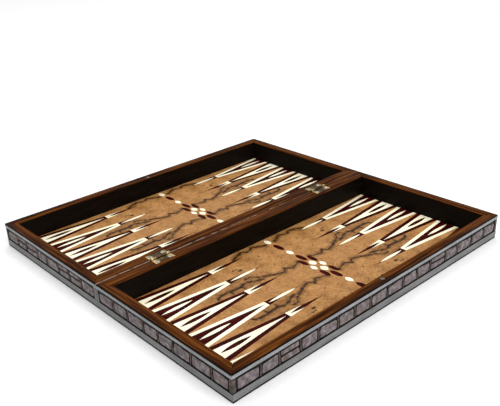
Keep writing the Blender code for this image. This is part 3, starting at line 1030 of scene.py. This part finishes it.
LIGHT_HEXAGONS = (-143.2, 0.0, 143.2)
DARK_HEXAGONS = (-71.6, 71.6)
CROSSINGS = (-173.2, -113.2, -30.0, 30.0, 113.2, 173.2)
CROSSING_REACH = 17.7
# (lean, width, level) of the two lines of a crossing, the light one first
CROSSING_LINES = ((1, 1.8, 4), (-1, 1.2, 3))
# Blocks of the stepped edge: from, to along the edge from its middle, and the band that they lie in
EDGE_BLOCKS = (
    (132.5, 162.5, 1),
    (118.0, 148.0, 0),
    (68.5, 98.5, 1),
    (54.0, 84.0, 0),
    (11.0, 34.5, 1),
    (1.0, 25.0, 0),
)
CORNER_BLOCKS = ((51.0, 1), (64.5, 0))
CORNER_FLAT = 53.4
CORNER_TIP = 70.2
CORNER_DISC_INSET = 32.5
# The radius of each disc in a corner, from the widest to the stud in the middle
CORNER_DISCS = (10.5, 9.8, 3.6, 1.5)


def draw_edge(dark, red, light, pale):
    """The border of one edge of the chess face: x from the edge's middle, y in from the edge."""
    for start, end, band in EDGE_BLOCKS:
        low = BLACK_EDGE + band * STEP_BAND
        for x0, x1 in ((start, end), (-end, -start)):
            inlay(light, rectangle(x0, x1, low, low + STEP_BAND), 2)
    for centre in CROSSINGS:
        for (sign, width, level), shape in zip(CROSSING_LINES, (light, pale)):
            start = (centre - sign * CROSSING_REACH, BORDER_START)
            end = (centre + sign * CROSSING_REACH, BORDER_END)
            inlay(shape, strip(start, end, width, (BORDER_START, BORDER_END)), level)
    for centre in LIGHT_HEXAGONS:
        at = (centre, BORDER_MIDDLE)
        inlay(dark, turned_outline(hexagon(26.2, 10.4, BORDER_HALF, 1.2, -0.3), at), 2)
        inlay(light, turned_outline(hexagon(24.2, 10.4, 11.3), at), 3)
    for centre in DARK_HEXAGONS:
        at = (centre, BORDER_MIDDLE)
        inlay(red, turned_outline(hexagon(38.0, 23.0, BORDER_HALF), at), 2)


def draw_corner(red, light, dark, studs, sign_x, sign_y):
    """A corner of the chess face, with an L of light blocks, a red piece with two points and a disc."""
    def outline(points):
        return [(sign_x * (HALF_WIDTH - x), sign_y * (HALF_LENGTH - y)) for x, y in points]

    for reach, band in CORNER_BLOCKS:
        low = BLACK_EDGE + band * STEP_BAND
        high = low + STEP_BAND
        corner = [(low, low), (reach, low), (reach, high), (high, high), (high, reach), (low, reach)]
        inlay(light, outline(corner), 2)
    arm = [
        (BORDER_START, BORDER_START),
        (CORNER_FLAT, BORDER_START),
        (CORNER_TIP, BORDER_MIDDLE),
        (CORNER_FLAT, BORDER_END),
        (BORDER_END, BORDER_END),
    ]
    other_arm = [(y, x) for x, y in reversed(arm[1:-1])]
    inlay(red, outline(arm + other_arm), 2)
    for level, (shape, radius) in enumerate(zip((dark, light, dark, studs), CORNER_DISCS), 3):
        points = [(CORNER_DISC_INSET + x, CORNER_DISC_INSET + y) for x, y in disc_outline(radius)]
        inlay(shape, outline(points), level)


HALF_TURN = Matrix.Rotation(math.pi, 3, "Z")
TILE_SIZE = 46.6
TILE_FRAME = 2.6
LOOP_CENTRE = 11.3
LOOP_HALF = 7.6


def draw_arabesque(figure, ground, level, loop_width, bold):
    """A generic fourfold ornament: a flower in a ring, four fronds in loops, and lozenges between them."""
    reach = LOOP_HALF - loop_width
    for sign_x, sign_y in ((1, 1), (-1, 1), (-1, -1), (1, -1)):
        def loop(half, ease):
            corners = [(-half, -half, 0.45), (half, -half, 1), (half, half, 1), (-half, half, 1)]
            points = rounded(corners, ease, 3)
            return [(sign_x * (LOOP_CENTRE + x), sign_y * (LOOP_CENTRE + y)) for x, y in points]

        inlay_ring(figure, loop(LOOP_HALF, 4.8), loop(reach, 3.8), level)

    def leaf(shape, radius, turn, length, width, lean=0.0, aside=0.0, at_level=level):
        at = turned_outline([(radius, aside)], (0, 0), turn)[0]
        outline = turned_outline(lens_outline(length, width * bold, 2.2, 8), at, turn + lean)
        inlay(shape, outline, at_level)

    for quarter in range(4):
        axis = quarter * math.pi / 2
        diagonal = axis + math.pi / 4
        leaf(figure, 2.5, axis, 4.4, 2.9)
        leaf(figure, 11.0, axis, 6.6, 1.9)
        leaf(figure, 18.9, axis, 4.0, 3.6)
        leaf(figure, 15.8, diagonal, 10.5, 4.4)
        leaf(ground, 16.2, diagonal, 4.6, 0.9, at_level=level + 1)
        ring = crescent_outline(6.7, 1.7 * bold, -0.62, 0.62, 8)
        inlay(figure, turned_outline(ring, (0, 0), axis), level)
        for sign in (-1, 1):
            leaf(figure, 12.6, diagonal, 8.2, 2.7, sign * 0.72, sign * 3.3)
            leaf(figure, 8.9, diagonal, 4.2, 1.5, sign * 1.15, sign * 1.7)


def draw_tiles(dark, light, setting, finishes):
    """The inlaid squares: light ones with a dark frame, and dark ones, chequered with plain veneer.

    Both halves have the same pattern, turned half round.
    """
    square = TILE_SIZE / 2
    tile_outline = rectangle(-square, square, -square, square)
    inner = square - TILE_FRAME
    field = rectangle(-inner, inner, -inner, inner)
    for row, column, is_light in ((-0.5, -3.5, True), (-1.5, -2.5, False)):
        dark_tile, light_tile = bmesh.new(), bmesh.new()
        inlay(dark_tile, tile_outline, 2)
        if is_light:
            inlay(light_tile, field, 3)
            draw_arabesque(dark_tile, light_tile, 4, 2.0, 1.4)
        else:
            draw_arabesque(light_tile, dark_tile, 3, 1.3, 1.0)
        for tile, total, name in ((dark_tile, dark, "maroon"), (light_tile, light, "ivory")):
            bmesh.ops.translate(tile, verts=tile.verts, vec=(row * SQUARE_X, column * SQUARE_Y, 0))
            steps = {"Column_Step": (0.0, 2 * SQUARE_Y, 0.0), "Row_Step": (-2 * SQUARE_X, 0.0, 0.0)}
            made = setting.run(tile, finishes[name], Columns=4, Rows=2, **steps)
            add_bmesh(total, made)
            bmesh.ops.rotate(made, verts=made.verts, cent=(0, 0, 0), matrix=HALF_TURN)
            add_bmesh(total, made)
            made.free()


def saw(shape, side):
    """Cuts a pattern of the whole board along the fold and keeps one half, closed."""
    half = shape.copy()
    geometry = half.verts[:] + half.edges[:] + half.faces[:]
    plane = {"plane_co": (side * FOLD_X, 0, 0), "plane_no": (-side, 0, 0)}
    cut = bmesh.ops.bisect_plane(half, geom=geometry, dist=1e-4, clear_outer=True, **plane)
    edges = [e for e in cut["geom_cut"] if isinstance(e, bmesh.types.BMEdge)]
    if edges:
        bmesh.ops.holes_fill(half, edges=edges, sides=0)
    return half


# The finish and the slot of each inlay in the chess face
CHESS_INLAYS = {
    "dark": ("maroon", "maroon_inlay"),
    "red": ("rosewood", "maroon_inlay"),
    "light": ("ivory", "ivory_inlay"),
    "pale": ("pale", "ivory_inlay"),
    "stud": ("brass", "aged_brass"),
}


def make_chess_faces(row_setting, border_setting, finishes):
    """The outer faces of both trays: one pattern, sawn along the fold."""
    finish = {name: finishes[key] for name, (key, _) in CHESS_INLAYS.items()}
    border = {name: bmesh.new() for name in CHESS_INLAYS if name != "stud"}
    draw_edge(**border)
    around = {"Half_Width": HALF_WIDTH, "Half_Length": HALF_LENGTH}
    whole = {name: border_setting.run(shape, finish[name], **around) for name, shape in border.items()}
    studs = bmesh.new()
    for sign_x in (-1, 1):
        for sign_y in (-1, 1):
            draw_corner(whole["red"], whole["light"], whole["dark"], studs, sign_x, sign_y)
    whole["stud"] = studs
    inlay_ring(whole["red"], inset_rectangle(BLACK_EDGE), inset_rectangle(MAROON_RING_END), 1)
    inlay_ring(whole["light"], inset_rectangle(MAROON_RING_END), inset_rectangle(BORDER_START), 3)
    for start, end in INNER_LINES:
        inlay_ring(whole["light"], inset_rectangle(start), inset_rectangle(end), 3)

    # Stringing between the squares
    reach_x, reach_y = 4 * SQUARE_X, 4 * SQUARE_Y
    half_line = GRID_LINE / 2
    first_x, first_y = -3 * SQUARE_X, -3 * SQUARE_Y
    for line, level, step in (
        (rectangle(-reach_x, reach_x, first_y - half_line, first_y + half_line), 3, (0.0, SQUARE_Y, 0.0)),
        (rectangle(first_x - half_line, first_x + half_line, -reach_y, reach_y), 4, (SQUARE_X, 0.0, 0.0)),
    ):
        string = bmesh.new()
        inlay(string, line, level)
        lines = row_setting.run(string, finishes["pale"], Columns=7, Rows=1, Column_Step=step)
        add_bmesh(whole["pale"], lines)
        lines.free()
    draw_tiles(whole["dark"], whole["light"], row_setting, finishes)

    for half, side in SIDES.items():
        for name, shape in whole.items():
            make_piece("%s_chess_%s_inlay" % (half, name), saw(shape, side), half, finish[name])
        make_chess_board(half, side, finishes)
    for shape in whole.values():
        shape.free()


def make_chess_board(half, side, finishes):
    """The black-edged panel and the burl veneer on its face."""
    near, far = side * FOLD_X, side * HALF_WIDTH
    panel = new_plate(rectangle(near, far, -HALF_LENGTH, HALF_LENGTH), CHESS_FACE_Z, PANEL_HIGH.z)
    name, node = half + "_chess_board", half + "_chess_panel"
    ease_edges(make_piece(name, panel, half, finishes["black_y"], [node]), 0.15)
    veneer = bmesh.new()
    reach = HALF_LENGTH - MAROON_RING_END
    inlay(veneer, rectangle(near, side * (HALF_WIDTH - MAROON_RING_END), -reach, reach), 1)
    make_piece(half + "_chess_veneer", veneer, half, finishes["chess"])


# ---- rims, mouldings and stones

WIDE_BAND_TOP = 10.9
NARROW_BAND_BOTTOM = 28.9
GROOVE_WIDTH = 1.2
GROOVE_DEPTH = 1.8
RECESS_DEPTH = 1.3
MOULDING_THICK = OUTER_HIGH.x - OUTER_LOW.x
BAND_EASE = 0.9
STONE_MIDDLE = (WIDE_BAND_TOP + NARROW_BAND_BOTTOM) / 2
STONE_HALF = (NARROW_BAND_BOTTOM - WIDE_BAND_TOP) / 2 - 0.7
STONE_RISE = 1.35
STONE_PITCH = 30.0
# How much of its cell a stone fills, and how far a joint wanders
STONE_FILL = 0.86
JOINT_WANDER = 3.4
MORTAR_RIB = 1.1
MORTAR_RISE = 1.05
POST_WIDTH = 5.0
END_STRIP = {"base": 2.5, "lid": 7.0}


def plain_copy(node):
    """A CAD node's mesh in millimetres with its doubles merged and its flat faces whole."""
    shape = bmesh.new()
    shape.from_mesh(frame["nodes"][node].data)
    bmesh.ops.scale(shape, verts=shape.verts, vec=(1 / MM, 1 / MM, 1 / MM))
    bmesh.ops.remove_doubles(shape, verts=shape.verts, dist=0.004)
    bmesh.ops.dissolve_limit(shape, angle_limit=math.radians(1), verts=shape.verts, edges=shape.edges)
    return shape


def moulding_profile():
    """(depth, z, ease) of the edge moulding: a wide band, a recess for the stones and a narrow band."""
    low, high = OUTER_LOW.z, OUTER_HIGH.z
    return [
        (MOULDING_THICK, low, 0),
        (0, low, 0.6),
        (0, WIDE_BAND_TOP, 1),
        (GROOVE_DEPTH, WIDE_BAND_TOP + 0.3, 0),
        (GROOVE_DEPTH, WIDE_BAND_TOP + GROOVE_WIDTH, 0),
        (RECESS_DEPTH, WIDE_BAND_TOP + GROOVE_WIDTH + 0.3, 0),
        (RECESS_DEPTH, NARROW_BAND_BOTTOM - GROOVE_WIDTH - 0.3, 0),
        (GROOVE_DEPTH, NARROW_BAND_BOTTOM - GROOVE_WIDTH, 0),
        (GROOVE_DEPTH, NARROW_BAND_BOTTOM - 0.3, 0),
        (0, NARROW_BAND_BOTTOM, 1),
        (0, high, 1),
        (MOULDING_THICK, high, 0),
    ]


def make_moulding(name, half, start, end, outward, finishes):
    """A moulding between two board corners (x, y), mitred where it meets the next one."""
    profile = rounded(moulding_profile(), BAND_EASE)
    along = (Vector(end) - Vector(start)).normalized()
    shape = bmesh.new()
    ends = []
    for corner, mitre in ((start, 1), (end, -1)):
        at_fold = abs(corner[0]) < 1
        points = []
        for depth, z in profile:
            back = 0.0 if at_fold else mitre * (depth + 0.15)
            at = Vector(corner) - Vector(outward) * depth + along * back
            points.append((at.x, at.y, z))
        ends.append(points)
    loft(shape, *ends)
    piece = make_piece(name, shape, half, finishes["band"], [name.replace("_band", "")])
    smooth(piece, 40)


def lay_course(name, half, start, end, outward, seed, settings, finishes):
    """A course of stones and its mortar in the recess of one moulding."""
    start, end, outward = Vector((*start, 0)), Vector((*end, 0)), Vector((*outward, 0))
    length = (end - start).length
    middle = (start + end) / 2 - outward * (RECESS_DEPTH + 0.1)
    place = Matrix.Identity(4)
    for column, axis in enumerate((Vector((0, 0, 1)).cross(outward), Vector((0, 0, 1)), outward)):
        for row in range(3):
            place[row][column] = axis[row]
    place.translation = (middle.x, middle.y, STONE_MIDDLE)
    shared = {"Length": length, "Height": 2 * STONE_HALF, "Seed": seed, "Uneven": JOINT_WANDER}
    shared["Stones"] = round(length / STONE_PITCH)
    courses = (
        ("stones", "stone", {"Rise": STONE_RISE, "Fill": STONE_FILL}),
        ("mortar", "mortar", {"Rise": MORTAR_RISE, "Rib": MORTAR_RIB}),
    )
    for title, finish, values in courses:
        made = settings[title].run(bmesh.new(), finishes[finish], **shared, **values)
        bmesh.ops.transform(made, matrix=place, verts=made.verts)
        piece = make_piece("%s_%s" % (name, title), made, half, finishes[finish])
        smooth(piece, 60)


def make_corner_post(half, side, end, finishes):
    """The mortar post that turns the corner between two courses."""
    face, back = 0.2, RECESS_DEPTH + 0.1
    arm = [(POST_WIDTH, face), (POST_WIDTH, back)]
    plan = [(face, face), *arm, (back, back), (back, POST_WIDTH), (face, POST_WIDTH)]
    outline = [(side * (HALF_WIDTH - x), end * (HALF_LENGTH - y)) for x, y in plan]
    post = new_plate(outline, STONE_MIDDLE - STONE_HALF, STONE_MIDDLE + STONE_HALF)
    name = "%s_%s_corner_post" % (half, "front" if end < 0 else "back")
    ease_edges(make_piece(name, post, half, finishes["mortar"]), 0.5)


def make_end_strip(half, side, end, finishes):
    """The plain upright strip that closes the recess beside the fold."""
    near, far = side * FOLD_X, side * (FOLD_X + END_STRIP[half])
    outer, inner = end * (HALF_LENGTH - 0.05), end * (HALF_LENGTH - RECESS_DEPTH - 0.1)
    outline = rectangle(near, far, inner, outer)
    upright = new_plate(outline, WIDE_BAND_TOP - 0.4, NARROW_BAND_BOTTOM + 0.4)
    name = "%s_%s_end_strip" % (half, "front" if end < 0 else "back")
    ease_edges(make_piece(name, upright, half, finishes["end_strip"]), 0.3)


def make_edges(half, side, settings, finishes):
    """The three mouldings of a tray, and the stones, posts and end strips in them."""
    fold, outer = side * FOLD_X, side * HALF_WIDTH
    corners = {
        "front": ((fold, -HALF_LENGTH), (outer, -HALF_LENGTH), (0, -1)),
        "outer": ((outer, -HALF_LENGTH), (outer, HALF_LENGTH), (side, 0)),
        "back": ((fold, HALF_LENGTH), (outer, HALF_LENGTH), (0, 1)),
    }
    seeds = {"front": 3, "outer": 5, "back": 8}
    for edge, (start, end, outward) in corners.items():
        make_moulding("%s_%s_moulding_band" % (half, edge), half, start, end, outward, finishes)
        along = (Vector(end) - Vector(start)).normalized()
        first = POST_WIDTH if edge == "outer" else END_STRIP[half]
        course = (Vector(start) + along * first, Vector(end) - along * POST_WIDTH)
        seed = seeds[edge] + (20 if side < 0 else 0)
        lay_course("%s_%s" % (half, edge), half, *course, outward, seed, settings, finishes)
    for end in (-1, 1):
        make_corner_post(half, side, end, finishes)
        make_end_strip(half, side, end, finishes)


def make_rims(half, finishes):
    """The walnut strips on top of the frame, with eased edges."""
    for edge, along in (("front", "x"), ("back", "x"), ("outer", "y"), ("hinge", "y")):
        node = "%s_%s_rim" % (half, edge)
        finish = finishes["walnut_" + along]
        ease_edges(make_piece(node + "_strip", plain_copy(node), half, finish, [node]), 0.25)


def dress_frame(half, finishes):
    """Finishes for the CAD nodes that are right as they are."""
    nodes = frame["nodes"]
    for rail, along in (("front", "x"), ("back", "x"), ("outer", "y"), ("hinge", "y")):
        set_finish(nodes["%s_%s_rail" % (half, rail)], finishes["black_" + along])
    set_finish(nodes[half + "_playing_field"], finishes["burl"])


# ---- hinges and magnets


def make_hinge(hinge, finishes):
    for half in SIDES:
        node = "%s_%s_leaf" % (hinge, half)
        piece = make_piece(node + "_plate", plain_copy(node), half, finishes["brass"], [node])
        ease_edges(piece, 0.14, angle_deg=50)
    set_finish(frame["nodes"][hinge + "_pin"], finishes["steel"])


SCREW_SIDES = 40
MAGNET_SIDES = 48
SHANK_PART = 0.42
RIM_HEIGHT = 0.22
SLOT_TURN = math.radians(35)
SLOT_WIDTH = 0.7
SLOT_DEPTH = 0.55


def make_screws(half, side, setting, finishes):
    """The four hinge screws of a tray: countersunk heads with a slot, and a plain shank."""
    head = (SCREW_HIGH.x - SCREW_LOW.x) / 2
    centre = (side * (SCREW_HIGH.x + SCREW_LOW.x) / 2, (SCREW_HIGH.y + SCREW_LOW.y) / 2)
    top, tip = SCREW_HIGH.z, SCREW_LOW.z
    shank = head * SHANK_PART
    profile = [
        (head * 0.55, top),
        (head * 0.90, top - 0.08),
        (head, top - RIM_HEIGHT),
        (shank, top - RIM_HEIGHT - (head - shank)),
        (shank, tip + 2 * shank),
        (shank * 0.25, tip),
    ]
    body = bmesh.new()
    turned_solid(body, (0, 0), profile, SCREW_SIDES)
    blank = make_piece("screw_blank", body, half, finishes["steel"])
    slot = rectangle(-SLOT_WIDTH / 2, SLOT_WIDTH / 2, -head * 1.5, head * 1.5)
    groove = new_plate(slot, top - SLOT_DEPTH, top + 1)
    cutter = make_piece("screw_cutter", groove, half, finishes["steel"])
    cutter.data.transform(Matrix.Rotation(SLOT_TURN, 4, "Z"))
    cut = blank.modifiers.new("slot", "BOOLEAN")
    cut.operation = "DIFFERENCE"
    cut.solver = "EXACT"
    cut.object = cutter
    settle(blank)
    shape = bmesh.new()
    shape.from_mesh(blank.data)
    bmesh.ops.scale(shape, verts=shape.verts, vec=(1 / MM, 1 / MM, 1 / MM))
    bmesh.ops.translate(shape, verts=shape.verts, vec=(*centre, 0))
    bpy.data.objects.remove(blank)
    bpy.data.objects.remove(cutter)
    steps = {
        "Column_Step": (0.0, NEXT_SCREW_LOW.y - SCREW_LOW.y, 0.0),
        "Row_Step": (0.0, BACK_LEAF_LOW.y - LEAF_LOW.y, 0.0),
    }
    made = setting.run(shape, finishes["steel"], Columns=2, Rows=2, **steps)
    nodes = ["%s_%s_screw_%d" % (hinge, half, n) for hinge in HINGES for n in (1, 2)]
    piece = make_piece(half + "_hinge_screws", made, half, finishes["steel"], nodes)
    smooth(piece)


def make_magnet(half, finishes):
    low, high = box_mm(half + "_magnet")
    radius = (high.x - low.x) / 2
    centre = ((low.x + high.x) / 2, (low.y + high.y) / 2)
    profile = [
        (radius - 0.35, high.z),
        (radius - 0.1, high.z - 0.1),
        (radius, high.z - 0.35),
        (radius, low.z),
    ]
    disc = bmesh.new()
    turned_solid(disc, centre, profile, MAGNET_SIDES)
    piece = make_piece(half + "_magnet_disc", disc, half, finishes["magnet"], [half + "_magnet"])
    smooth(piece)


# ---- studio

VIEW_AZIMUTH = 48.683
VIEW_ELEVATION = 27.268
VIEW_ROLL = -2.653
VIEW_DISTANCE = 0.98098
VIEW_TARGET = Vector((-0.00064, -0.0022, 0.0))
LENS = 49.505
SHIFT = (0.00873, 0.07752)


def make_camera():
    """The camera, turned round its target by azimuth and elevation, with a slight roll."""
    turn, rise, roll = (math.radians(a) for a in (VIEW_AZIMUTH, VIEW_ELEVATION, VIEW_ROLL))
    back = Vector((math.sin(turn) * math.cos(rise), -math.cos(turn) * math.cos(rise), math.sin(rise)))
    right = (-back).cross(Vector((0, 0, 1))).normalized()
    up = right.cross(-back)
    rolled_right = right * math.cos(roll) + up * math.sin(roll)
    rolled_up = up * math.cos(roll) - right * math.sin(roll)
    data = bpy.data.cameras.new("camera")
    data.lens = LENS
    data.shift_x, data.shift_y = SHIFT
    data.clip_end = 50.0
    camera = bpy.data.objects.new("camera", data)
    axes = Matrix((rolled_right, rolled_up, back)).transposed()
    camera.matrix_world = Matrix.Translation(VIEW_TARGET + back * VIEW_DISTANCE) @ axes.to_4x4()
    bpy.context.scene.collection.objects.link(camera)
    bpy.context.scene.camera = camera


def make_light(name, place, size, power):
    """A square softbox that looks at the board."""
    data = bpy.data.lights.new(name, "AREA")
    data.shape = "SQUARE"
    data.size = size
    data.energy = power
    light = bpy.data.objects.new(name, data)
    light.location = place
    light.rotation_euler = (-Vector(place)).to_track_quat("-Z", "Y").to_euler()
    bpy.context.scene.collection.objects.link(light)


def make_world(horizon, zenith):
    """A soft surround, dimmer at the horizon, so that dark varnish stays dark."""
    world = bpy.data.worlds.new("studio")
    world.use_nodes = True
    sky = Nodes(world.node_tree)
    direction = sky.add("ShaderNodeTexCoord").outputs["Generated"]
    rise = sky.add("ShaderNodeSeparateXYZ", {0: direction}).outputs["Z"]
    background = world.node_tree.nodes["Background"]
    background.inputs["Color"].default_value = (1, 1, 1, 1)
    sky.tree.links.new(sky.fade(rise, 0.25, 0.95, horizon, zenith), background.inputs["Strength"])
    bpy.context.scene.world = world


FLOOR_REACH = 8.0
FLOOR_DROP = 0.0002


def make_floor(material):
    """A wide sheet just below the board's feet."""
    corners = [(x, y, 0) for x, y in rectangle(-FLOOR_REACH, FLOOR_REACH, -FLOOR_REACH, FLOOR_REACH)]
    mesh = bpy.data.meshes.new("floor")
    mesh.from_pydata(corners, [], [(0, 1, 2, 3)])
    mesh.materials.append(material)
    floor = bpy.data.objects.new("floor", mesh)
    floor.location.z = -FLOOR_DROP
    bpy.context.scene.collection.objects.link(floor)


def make_studio():
    make_camera()
    make_floor(make_paper())
    make_world(0.45, 1.35)
    make_light("key_light", (2.0, -0.2, 1.7), 1.6, 31.0)
    make_light("fill_light", (-1.2, 0.5, 2.2), 1.8, 11.0)
    bpy.context.scene.view_settings.view_transform = "Standard"


# ---- the whole board


def make_finishes():
    return {
        "burl": make_burl_field(),
        "chess": make_chess_veneer(),
        "walnut_x": make_walnut("x", RIM_HIGH.y),
        "walnut_y": make_walnut("y", RIM_HIGH.x),
        "black_x": make_black_wood("x"),
        "black_y": make_black_wood("y"),
        "maroon": make_maroon("maroon_inlay", srgb(34, 2, 1), srgb(64, 6, 4), 1.6),
        "rosewood": make_maroon("rosewood_inlay", srgb(30, 2, 2), srgb(80, 10, 8), 2.4),
        "ivory": make_ivory(),
        "pale": make_pale_line("pale_stringing", srgb(200, 168, 128), srgb(226, 196, 158)),
        "band": make_band("moulding_band"),
        "end_strip": make_stone("end_strip", srgb(92, 92, 92), srgb(108, 108, 108), srgb(122, 122, 123)),
        "stone": make_stone("stone", srgb(80, 72, 73), srgb(110, 101, 102), srgb(138, 129, 130)),
        "mortar": make_stone("mortar", srgb(54, 45, 42), srgb(74, 64, 59), srgb(96, 85, 80)),
        "brass": make_brass(),
        "steel": make_steel("steel", srgb(150, 148, 142), srgb(214, 212, 204)),
        "magnet": make_steel("magnet_plating", srgb(84, 72, 58), srgb(146, 132, 114)),
    }


def build_board():
    rows, border = make_row_setting(), make_border_setting()
    courses = {"stones": make_stone_setting(), "mortar": make_mortar_setting()}
    finishes = make_finishes()
    for half, side in SIDES.items():
        dress_frame(half, finishes)
        make_rims(half, finishes)
        make_edges(half, side, courses, finishes)
        make_field_inlay(half, side, rows, finishes)
        make_magnet(half, finishes)
        make_screws(half, side, rows, finishes)
    for hinge in HINGES:
        make_hinge(hinge, finishes)
    make_chess_faces(rows, border, finishes)


make_studio()
build_board()
